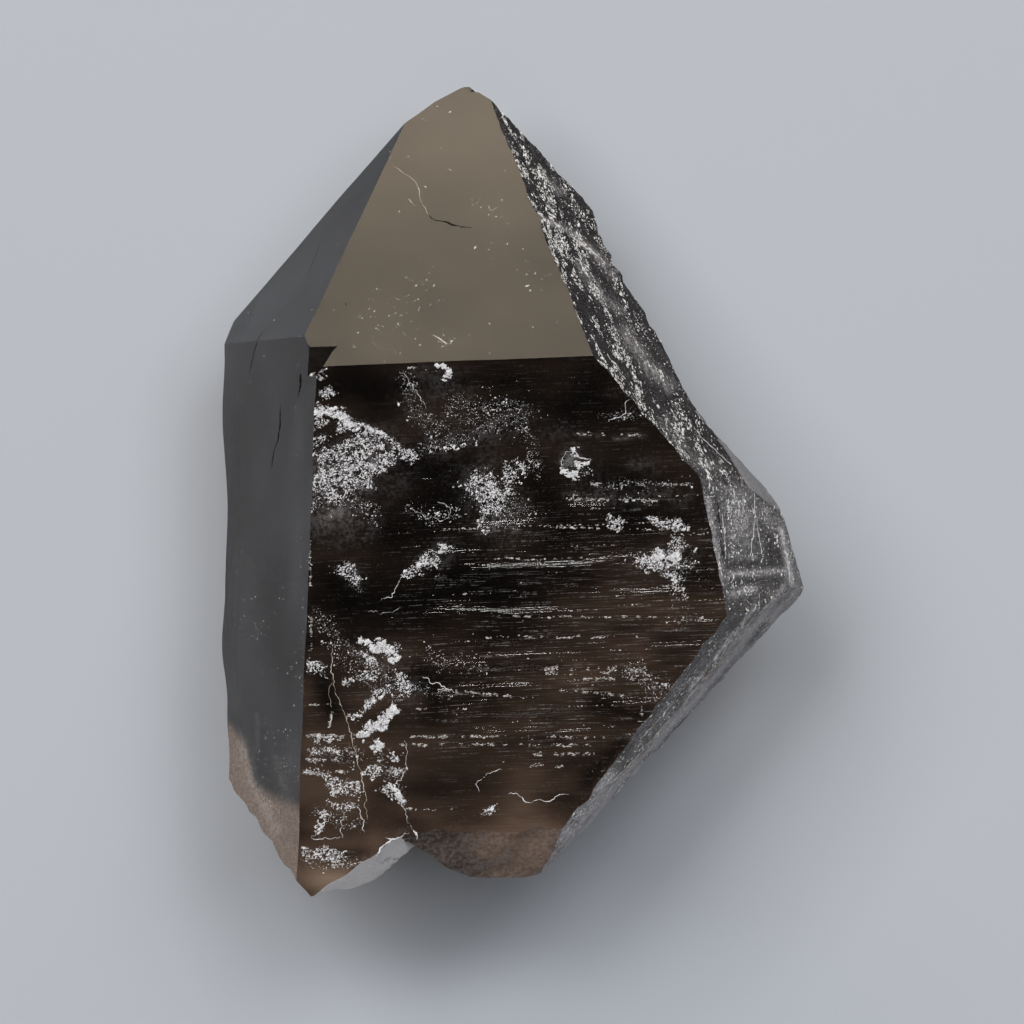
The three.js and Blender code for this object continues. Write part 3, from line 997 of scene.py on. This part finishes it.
def smokyQuartz():
    material, sheet = newMaterial("smokyQuartz")
    growth, etch, veil, dark, frost, crust, tone, turn = (
        sheet.node("ShaderNodeAttribute", {"attribute_name": name}, output="Fac")
        for name in ("growth", "etch", "veil", "dark", "frost", "crust", "tone", "turn"))
    plain = placeInMm(sheet)
    grain = noise(sheet, plain, 7.0, 1.0, 0.6)
    specks = noise(sheet, plain, 2.6, 2.0, 0.65)
    linePlace = turn.held().mix(placeInMm(sheet, None, (0.22, 8.0, 1.0)),
                                placeInMm(sheet, flankAxes, (0.55, 3.0, 3.0)))
    linePlace = (turn - 1.0).held().mix(linePlace, placeInMm(sheet, endAxes, (0.25, 3.5, 3.5)))
    lines = noise(sheet, linePlace, 1.0, 1.0, 0.6)

    tan = (tone - 2.0).held()
    lineGlow = growth * lines.rise(0.56, 0.74) * specks.rise(0.42, 0.60)
    etchGlow = etch * (lines * 0.6 + grain * 0.4).rise(0.52, 0.64)
    speckGlow = etch * (specks * 0.4 + grain * 0.6).rise(0.60, 0.66)
    dustGlow = tan * (grain.rise(0.60, 0.72) * 0.05 + specks.rise(0.64, 0.72) * 0.06)
    veilAmount = veil * (1.0 + growth * (lines - 0.5) * 2.0)
    paleAmount = frost * (0.05 + frost * 0.75 + specks.rise(0.36, 0.64) * 0.7 + etchGlow)
    paleAmount = paleAmount + etchGlow * 0.03 + speckGlow * 0.26
    paleAmount = paleAmount + lineGlow * 0.20 + dustGlow
    hazeAmount = (veilAmount + dark + paleAmount).held()
    paleShare = (paleAmount / (veilAmount + dark + paleAmount + 0.01)).held()
    shadeShare = (dark / (veilAmount + dark + 0.01)).held()
    colour = tone.held().blend(smoke["blackVeilColour"], smoke["brownVeilColour"])
    colour = (tone - 1.0).held().blend(colour, smoke["amberVeilColour"])
    colour = tan.blend(colour, smoke["tanSheenColour"])
    colour = shadeShare.blend(colour, smoke["paintedShadeColour"])
    colour = paleShare.blend(colour, smoke["frostColour"])

    # Crust is a lace of threads where the mask is half, and nearly closed where it is whole
    # On the pale bevel this lace draws painted highlights.
    lace = (specks - 0.5).absolute()
    crustAmount = crust * smoke["crustFill"] - lace * smoke["laceThinness"] + (grain - 0.5) * 2.4 - 0.45
    crustAmount = crustAmount.rise(0.0, 0.40)
    crustColour = grain.rise(0.38, 0.62).blend(smoke["crustShade"], smoke["crustColour"])

    etchHeight = lines * smoke["etchLineHeight"] + grain * smoke["etchGrainHeight"]
    height = growth * lines * smoke["lineHeight"] + etch * etchHeight
    bump = sheet.node("ShaderNodeBump", {}, {"Strength": 1.0, "Distance": mm, "Height": height})

    roughness = smoke["roughness"] + etch * smoke["etchedRoughness"] + tan * smoke["tanRoughness"]
    clear = sheet.node("ShaderNodeBsdfPrincipled", {}, {
        "Base Color": (1.0, 1.0, 1.0, 1.0),
        "Transmission Weight": 1.0,
        "IOR": smoke["ior"],
        "Roughness": roughness,
        "Normal": bump,
    })
    haze = sheet.node("ShaderNodeBsdfPrincipled", {}, {
        "Base Color": colour, "Roughness": 0.5, "Specular IOR Level": 0.0, "Normal": bump})
    chalk = sheet.node("ShaderNodeBsdfPrincipled", {}, {
        "Base Color": crustColour, "Roughness": 0.85, "Specular IOR Level": 0.0, "Normal": bump})
    mixed = sheet.node("ShaderNodeMixShader", {}, {0: hazeAmount, 1: clear, 2: haze})
    mixed = sheet.node("ShaderNodeMixShader", {}, {0: crustAmount, 1: mixed, 2: chalk})
    absorb = sheet.node("ShaderNodeVolumeAbsorption", {}, {
        "Color": (*smoke["absorbColour"], 1.0), "Density": smoke["absorbDensity"]})
    finishMaterial(sheet, mixed, absorb)
    return material


quartzCrystal.data.materials.append(smokyQuartz())
print("quartz ready")

# The mineral flakes: the faces they sit on, how many places are tried on each square mm, their
# radius in mm and how uneven it is, the way they are drawn out and how much that sways, the least
# length for their width and what may be added to it, and their height for each mm of radius. The
# other values are spacings in mm and flakes on each square mm.
flakeSides = 6
flakeRoot = 0.03  # mm that each reaches into the crystal
grains = {
    "crustGrains": {
        "faces": ["top", "stepFloor"], "seed": 7, "tried": 150, "radius": 0.037, "uneven": 0.45,
        "along": (0.75, 0.6, 0), "sway": 0.5, "stretch": (1.0, 0.9), "slope": 0.45,
        "netSize": 0.42, "netWidth": 0.17, "netted": 135, "solid": 100, "dust": 26,
        "solidRadius": 0.060,
    },
    "rowGrains": {
        "faces": ["top", "stepFloor"], "seed": 8, "tried": 150, "radius": 0.030, "uneven": 0.40,
        "along": (1, 0, 0), "sway": 0.15, "stretch": (1.2, 1.6), "slope": 0.40,
        "rows": 130, "faintRows": 60,
    },
    "flankGrains": {
        "faces": [face for face in flankFaces if face != "edgeUpper"], "seed": 9, "tried": 100,
        "radius": 0.043, "uneven": 0.50, "along": flankAxes[0], "sway": 0.3, "stretch": (1.1, 1.3),
        "slope": 0.50, "everywhere": 1.0, "drifts": 9, "rim": 42, "silver": 34, "under": 0.65,
    },
    "leftGrains": {
        "faces": ["leftPrism", "leftChip", "leftPoint", "topPoint"], "seed": 10, "tried": 30,
        "radius": 0.034, "uneven": 0.45, "along": (0.3, 1, 0), "sway": 0.5, "stretch": (1.0, 1.0),
        "slope": 0.40, "everywhere": 0.12, "groups": 5.0,
    },
}


def scatterPlaces(kind):
    # Random places spread evenly over the triangles of some faces, with each triangle's normal.
    # Triangles near the floor are left out, so that no flake goes through it.
    onFaces = np.isin(skinLabel, [partNumber[face] for face in kind["faces"]])
    clear = skinVertices[skinTriangles][:, :, 2].min(axis=1) > 0.5 - faces["bottom"][2]
    chosen = np.flatnonzero(onFaces & clear)
    a, b, c = (skinVertices[skinTriangles[chosen, corner]] for corner in range(3))
    cross = np.cross(b - a, c - a)
    area = np.linalg.norm(cross, axis=1) / 2
    dice = np.random.default_rng(kind["seed"])
    pick = dice.choice(len(chosen), int(area.sum() * kind["tried"]), p=area / area.sum())
    u, v = dice.random((2, len(pick), 1))
    fold = u + v > 1
    u, v = np.where(fold, 1 - u, u), np.where(fold, 1 - v, v)
    points = a[pick] + u * (b - a)[pick] + v * (c - a)[pick]
    return points, cross[pick] / (2 * area[pick, None]), dice


def growFlakes(name, places, wanted, radius=None):
    # Keeps as many of the places as are wanted and grows a low flake on each: a ring of corners,
    # uneven and longer in one direction, with a peak above and one corner sunk in the crystal
    kind = grains[name]
    points, normals, dice = places
    keep = dice.random(len(points)) * kind["tried"] < wanted
    points, normals = points[keep], normals[keep]
    count = len(points)
    radius = np.full(count, kind["radius"]) if radius is None else radius[keep]
    radius = radius * np.exp(dice.normal(0, kind["uneven"], count))
    along = np.array(kind["along"]) + dice.normal(0, kind["sway"], (count, 3))
    stretch = kind["stretch"][0] + kind["stretch"][1] * dice.random(count)
    height = (0.02 + kind["slope"] * radius)[:, None]
    radius, stretch = radius[:, None], stretch[:, None]
    along = along - (along * normals).sum(axis=1, keepdims=True) * normals
    along /= np.linalg.norm(along, axis=1, keepdims=True)
    across = np.cross(normals, along)
    turn = np.linspace(0, 2 * math.pi, flakeSides, endpoint=False) + dice.random((count, 1)) * 2
    reach = radius * (0.65 + 0.6 * dice.random((count, flakeSides)))
    ring = points[:, None] + along[:, None] * (reach * np.cos(turn) * stretch)[..., None]
    ring += across[:, None] * (reach * np.sin(turn))[..., None]
    ring += normals[:, None] * (height * (0.15 + 0.3 * dice.random((count, flakeSides))))[..., None]
    peak = points + along * ((dice.random((count, 1)) - 0.5) * radius) + normals * height
    root = points - normals * flakeRoot
    vertices = np.concatenate([ring, peak[:, None], root[:, None]], axis=1).reshape(-1, 3)
    first = np.arange(flakeSides)
    second = np.roll(first, -1)
    flake = np.concatenate([
        np.stack([first, second, np.full(flakeSides, flakeSides)], 1),
        np.stack([second, first, np.full(flakeSides, flakeSides + 1)], 1),
    ])
    starts = np.arange(count) * (flakeSides + 2)
    triangles = (flake[None] + starts[:, None, None]).reshape(-1, 3)
    piece = buildMesh(name, vertices, triangles, smooth=False)
    print(name + ":", count, "flakes,", len(triangles), "triangles")
    return piece


def chalkMaterial(name, light, dark, roughness, shine=0.3):
    # Powdery mineral, mottled between two greys from flake to flake and darker in its pores
    material, sheet = newMaterial(name)
    place = placeInMm(sheet)
    mottle = noise(sheet, place, 2.6, 3.0, 0.7)
    pores = noise(sheet, place, 11.0, 2.0, 0.6)
    colour = (mottle * 0.7 + pores * 0.3).rise(0.38, 0.58).blend(dark, light)
    bump = sheet.node("ShaderNodeBump", {}, {"Strength": 0.6, "Distance": mm, "Height": pores * 0.03})
    shader = sheet.node("ShaderNodeBsdfPrincipled", {}, {
        "Base Color": colour, "Roughness": roughness + pores * 0.1,
        "Specular IOR Level": shine, "Normal": bump})
    finishMaterial(sheet, shader)
    return material


def makeCrustGrains():
    # Crust in three habits: a net of strands drawn out up to the right, solid patches, and dust
    # gathered in clumps. The outlines of all three wander by lumps at two sizes.
    kind = grains["crustGrains"]
    places = scatterPlaces(kind)
    points = places[0]
    skewed, ragged = slantOf(points), raggedFrom(points)
    size = kind["netSize"]
    field = lumps(skewed, (1.8 * size, size, 3), 51)
    field += 0.5 * lumps(skewed, (0.9 * size, 0.5 * size, 3), 52)
    strands = bell(field, kind["netWidth"])
    patches = rise(lumps(points, 2.2, 57) + 0.6 * lumps(points, 0.9, 58), -0.95, -0.1)
    netted = kind["netted"] * coverOf("nettedCrust", ragged, 1.3, 0.7)
    netted = netted * strands * patches * closedIn(points)
    solid = kind["solid"] * coverOf("solidCrust", ragged, 1.25, 0.75)
    solid *= 0.15 + 0.85 * rise(field, -0.35, 0.05)
    clumps = rise(lumps(points, 1.0, 55) + 0.7 * lumps(points, 0.3, 56), 0.20, 0.95)
    dust = kind["dust"] * coverOf("looseDust", ragged, 1.6, 0.4) * clumps
    wanted = np.maximum(np.maximum(netted, solid), dust)
    radius = np.where(solid > 30, kind["solidRadius"], kind["radius"])
    return growFlakes("crustGrains", places, wanted, radius)


def makeRowGrains():
    # Specks that sit in the growth lines: long across the crystal, thinned here and there, and
    # faint rows that come and go over the low half of the broad face
    kind = grains["rowGrains"]
    places = scatterPlaces(kind)
    points = places[0]
    ragged = points + 0.12 * lumps(points, 0.9, 61)[:, None] * np.array([0, 1, 0])
    beads = lumps(points, (0.6, 1.5, 1), 62) + 0.7 * lumps(points, (0.25, 1, 1), 63)
    wanted = kind["rows"] * coverOf("speckRows", ragged, 1.5, 0.5) * rise(beads, -0.25, 0.55)
    faint = rise(lumps(points, (6, 0.16, 3), 64), 0.45, 0.8)
    faint *= rise(lumps(points, (3.0, 2.2, 3), 65), -0.35, 0.4)
    band = rise(-points[:, 1], -5, 2) * (1 - rise(-points[:, 1], 23, 28)) * rise(points[:, 0], -12, -3)
    wanted = np.maximum(wanted, kind["faintRows"] * faint * band)
    return growFlakes("rowGrains", places, wanted)


def makeLeftGrains():
    # A few pale specks in loose groups on the calm left and point faces
    kind = grains["leftGrains"]
    places = scatterPlaces(kind)
    points = places[0]
    wanted = kind["groups"] * coverOf("leftSpecks", points, 1.6, 0.4)
    wanted = wanted * rise(lumps(points, 0.6, 66), -0.3, 0.5) + kind["everywhere"]
    return growFlakes("leftGrains", places, wanted)


# The x and y of the edge between the tan face and the flank
rimOfTan = [
    (0.4, 41.8), (3.2, 33.5), (4.8, 27.5), (6.7, 21.1), (9.0, 15.9), (11.3, 12.3), (14.6, 7.6),
    (19.3, 1.4),
]


def makeFlankGrains():
    # Bright specks of the etched flank, drawn out down it, gathered in drifts and thickest
    # beside the tan face
    kind = grains["flankGrains"]
    places = scatterPlaces(kind)
    points, normals, _ = places
    downFlank = points @ flankAxes.T
    drifts = lumps(downFlank, (3.0, 1.0, 1.0), 71) + 0.7 * lumps(downFlank, (0.8, 0.4, 0.4), 72)
    drifts = rise(drifts, -0.05, 0.7)
    rim = bell(distanceTo(rimOfTan, points), 3.2)
    wanted = kind["everywhere"] + (kind["drifts"] + kind["rim"] * rim) * drifts
    wanted += kind["silver"] * shadeOf("bandPale", points) * (0.2 + drifts)
    wanted *= np.where(normals[:, 2] < 0, kind["under"], 1.0)  # fewer where a face looks down
    return growFlakes("flankGrains", places, wanted)


crustGrains = makeCrustGrains()
rowGrains = makeRowGrains()
flankGrains = makeFlankGrains()
leftGrains = makeLeftGrains()
whiteCrust = chalkMaterial("whiteCrust", (0.76, 0.76, 0.78, 1.0), (0.42, 0.42, 0.44, 1.0), 0.8)
greySpecks = chalkMaterial("greySpecks", (0.58, 0.56, 0.55, 1.0), (0.24, 0.22, 0.21, 1.0), 0.7)
etchSparkle = chalkMaterial("etchSparkle", (0.82, 0.83, 0.84, 1.0), (0.34, 0.34, 0.34, 1.0), 0.6)
crustGrains.data.materials.append(whiteCrust)
rowGrains.data.materials.append(greySpecks)
flankGrains.data.materials.append(etchSparkle)
leftGrains.data.materials.append(greySpecks)

# Cracks: face, half width in mm, raggedness, and the x and y of each corner of the path
seams = {
    "spacing": 0.09,
    "proud": 0.05,  # mm by which a crack on a fully etched face stands out
    "profile": [(-1.0, -0.02), (-0.7, 0.5), (0.0, 1.0), (0.7, 0.5), (1.0, -0.02), (0.0, -1.2)],
    "dark": [
        ("leftPrism", 0.11, 0.14, -25.3, 19.4, -25.3, 18.2, -25.7, 17.2, -26.2, 15.2),
        ("leftPrism", 0.13, 0.16, -23, 11.8, -23.1, 10.2, -23.4, 8.6, -24, 7, -24.4, 5.3),
        ("topPoint", 0.085, 0.1, -7.3, 30.7, -7.1, 30.3, -6.6, 30.1, -5.7, 29.9, -4.9, 29.5,
         -4.1, 29.3, -2.9, 29.2),
        ("topPoint", 0.12, 0, -16, 21.9, -15.9, 21.5),
        ("leftPrism", 0.26, 0.05, -20.6, 14.8, -20.7, 13.6, -21, 12.4),
        ("rightPrism", 0.085, 0.14, 20.6, 0.4, 20.8, -1.8, 20.9, -3.7, 21.1, -5.6),
        ("leftPoint", 0.03, 0.05, -18.4, 28.9, -19.2, 26.8, -20, 24.7),
    ],
    "white": [
        ("top", 0.028, 0.31, -10.6, 14.6, -9.6, 13.4, -8.8, 12, -8.4, 10.6),
        ("top", 0.022, 0.06, 0.6, 10.5, 1.2, 10.2, 1, 9.7, 0.6, 9.9),
        ("top", 0.034, 0.19, 10, 8.8, 11.4, 9.2, 12.2, 10.8),
        ("top", 0.045, 0.12, 5.2, 3.8, 5.1, 4.9, 5.7, 5.7, 6.5, 5.8, 6.9, 5.2, 8.1, 4.9, 7, 4.5,
         6.7, 3.8, 5.7, 3.4),
        ("top", 0.031, 0.25, -9.9, 0.8, -8.6, -0.2, -6.6, -0.6, -6, 0.6, -7.4, 1.3),
        ("top", 0.043, 0.25, -11, -5.8, -11.7, -7, -12.4, -8, -13.6, -8.3),
        ("top", 0.028, 0.25, -14.8, -9.4, -13, -9.6, -11.6, -9.3),
        ("top", 0.04, 0.31, -9.6, -16, -7.6, -17.2, -5.6, -17.9),
        ("top", 0.034, 0.15, -4.4, -27.8, -4.9, -27, -3.6, -26.1, -2, -25.7),
        ("top", 0.04, 0.15, -1.5, -28.2, -0.6, -28.2, 0.2, -29.1, 1.6, -28.9, 2.6, -29.1,
         3.6, -28.4, 4.6, -28.4),
        ("top", 0.053, 0.25, -19.2, -29.3, -20.2, -30.6, -21.3, -31.8),
        ("top", 0.043, 0.25, -17.9, -28.8, -18.3, -30.2, -18.3, -31.9),
        ("top", 0.043, 0.25, -16.4, -28.9, -16, -31.4),
        ("top", 0.043, 0.19, -21.4, -31.8, -19.6, -31.9, -18.4, -31.8),
        ("top", 0.034, 0.28, -11.4, -22.4, -11.6, -25.6, -12.6, -26.5, -12.3, -28.3, -11.4, -30.9,
         -11, -31.6),
        ("top", 0.05, 0.15, -19.1, -20.7, -18.9, -20, -18.8, -19.3),
        ("top", 0.099, 0.12, -11.2, -31.4, -10.8, -32, -11.1, -32.7),
        ("top", 0.062, 0.15, -13.9, -31.9, -13, -32.3, -12.6, -33.1),
        ("rightPrism", 0.055, 0.12, 24.6, 1, 24.6, -0.9, 24.3, -3.1, 23.9, -5.5),
        ("rightPrism", 0.05, 0.12, 24.7, -1.4, 24.9, -3.6, 25.2, -5.3),
        ("rightPrism", 0.035, 0.05, 19.2, 0.7, 20.5, 0.7),
        ("rightPrism", 0.075, 0.2, 27.4, -2.9, 27.6, -4.3, 28, -6.6, 28.2, -8.2),
        ("rightPoint", 0.06, 0.16, 19, 7.4, 20.6, 5.6, 22.4, 3.9),
        ("rightPrism", 0.035, 0.14, 21, -1, 21.2, -3.4, 21.3, -5.6),
        ("top", 0.07, 0.2, -11.6, -31.5, -13.2, -32.2, -14.4, -33, -15.4, -34.3),
    ],
    "pale": [
        ("topPoint", 0.035, 0.16, -11, 36.3, -9.8, 35.3, -8.8, 34.6, -8.2, 33.4, -8.1, 32.4,
         -7.4, 30.7),
        ("top", 0.045, 0.2, -18.7, -12.8, -18.6, -16.2, -17.8, -18.8, -17.2, -20.6, -16.9, -22.1,
         -16.5, -24, -16.2, -25.2, -15.8, -28.2, -15.7, -30.2),
        ("top", 0.03, 0.15, -18.6, -16, -19, -17.4, -18.8, -18.8),
        ("topPoint", 0.05, 0.1, -9.4, 32.5, -9.1, 32.2, -8.8, 31.9),
        ("topPoint", 0.1, 0.1, -7.2, 18.1, -6.6, 17.7, -5.8, 17),
        ("topPoint", 0.04, 0.05, -5.3, 35.6, -4.7, 35.3),
        ("topPoint", 0.045, 0.2, -1.2, 31.4, -0.8, 30.7),
        ("topPoint", 0.035, 0.2, -0.4, 31.3, -0.9, 30.9),
        ("rightEnd", 0.07, 0.25, 27.1, -8.7, 26, -10.6, 24.2, -12.7, 22.6, -14.6),
        ("rightEnd", 0.045, 0.25, 25.8, -9.2, 23.2, -12.4, 20.6, -15.4),
        ("rightEnd", 0.055, 0.3, 23.6, -10.4, 20.4, -15.4, 16.6, -19.9),
        ("rightEnd", 0.045, 0.25, 21, -15.4, 18.2, -18.4, 15.4, -21.4),
        ("rightEnd", 0.035, 0.25, 17.4, -17.4, 14.6, -20.6, 11.4, -24),
        ("rightEnd", 0.055, 0.25, 14.6, -22, 11.2, -25.4, 8.4, -27.8),
        ("rightEnd", 0.045, 0.25, 10.4, -26.6, 8, -28.6, 5.8, -30.4),
    ],
}


def onSkin(face, path, spacing):
    # Points at this spacing along a path drawn from above on one face, set onto the skin
    path = np.array(path, float)
    length = np.concatenate([[0], np.cumsum(np.linalg.norm(np.diff(path, axis=0), axis=1))])
    steps = np.linspace(0, length[-1], max(int(length[-1] / spacing), 6))
    x, y = (np.interp(steps, length, path[:, axis]) for axis in (0, 1))
    normal, distance = faceNormal[partNumber[face]], faceDistance[partNumber[face]]
    points = np.stack([x, y, (distance - normal[0] * x - normal[1] * y) / normal[2]], axis=1)
    start = axisBeside(points)
    return skinPoints(start, points - start)[0], normal


def makeSeams(name, rows):
    # A flattened six-cornered profile carried along each ragged path, narrowing to a point at
    # both ends
    profile = np.array(seams["profile"])
    corners = len(profile)
    allPoints, allTriangles, used = [], [], 0
    for number, (face, width, ragged, *numbers) in enumerate(rows):
        middle, normal = onSkin(face, pathOf(numbers), seams["spacing"])
        along = np.gradient(middle, axis=0)
        along /= np.linalg.norm(along, axis=1, keepdims=True)
        side = np.cross(along, normal)
        sway = ragged * (lumps(middle, 0.8, 81 + number) + 0.6 * lumps(middle, 0.25, 91 + number))
        middle = middle + side * sway[:, None]
        t = np.linspace(0, 1, len(middle))
        bulge = 0.7 + 0.7 * lumps(middle, 0.9, 71 + number) + 0.6 * lumps(middle, 0.25, 101 + number)
        thick = width * np.sin(math.pi * t) ** 0.4 * np.maximum(bulge, 0.15) + 0.004
        ring = middle[:, None] + side[:, None] * (thick[:, None] * profile[:, 0])[..., None]
        proud = seams["proud"] * finishOf.get(face, broken)[1]
        lift = thick[:, None] * 0.35 * profile[:, 1] + np.where(profile[:, 1] < -1, -0.06, proud)
        ring += normal * lift[..., None]
        vertices = np.concatenate([ring.reshape(-1, 3), middle[:1], middle[-1:]])
        grid = np.arange(len(middle) * corners).reshape(-1, corners)
        a, b = grid[:-1], np.roll(grid[:-1], -1, 1)
        c, d = np.roll(grid[1:], -1, 1), grid[1:]
        ends = len(middle) * corners
        wall = np.concatenate([np.stack([a, b, c], 2), np.stack([a, c, d], 2)]).reshape(-1, 3)
        firstCap = np.stack([np.full(corners, ends), np.roll(grid[0], -1), grid[0]], 1)
        lastCap = np.stack([np.full(corners, ends + 1), grid[-1], np.roll(grid[-1], -1)], 1)
        allPoints.append(vertices)
        allTriangles.append(np.concatenate([wall, firstCap, lastCap]) + used)
        used += len(vertices)
    return buildMesh(name, np.concatenate(allPoints), np.concatenate(allTriangles))


darkCracks = makeSeams("darkCracks", seams["dark"])
paleCracks = makeSeams("paleCracks", seams["pale"])
crustThreads = makeSeams("crustThreads", seams["white"])
crustThreads.data.materials.append(whiteCrust)
darkCracks.data.materials.append(
    chalkMaterial("openCrack", (0.014, 0.012, 0.011, 1.0), (0.004, 0.004, 0.004, 1.0), 0.85, 0.0))
paleCracks.data.materials.append(
    chalkMaterial("filledCrack", (0.55, 0.50, 0.44, 1.0), (0.26, 0.22, 0.18, 1.0), 0.7))
print("cracks ready")

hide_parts("crystal")
for piece in (quartzCrystal, crustGrains, rowGrains, flankGrains, leftGrains,
              darkCracks, paleCracks, crustThreads):
    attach(piece, "root")
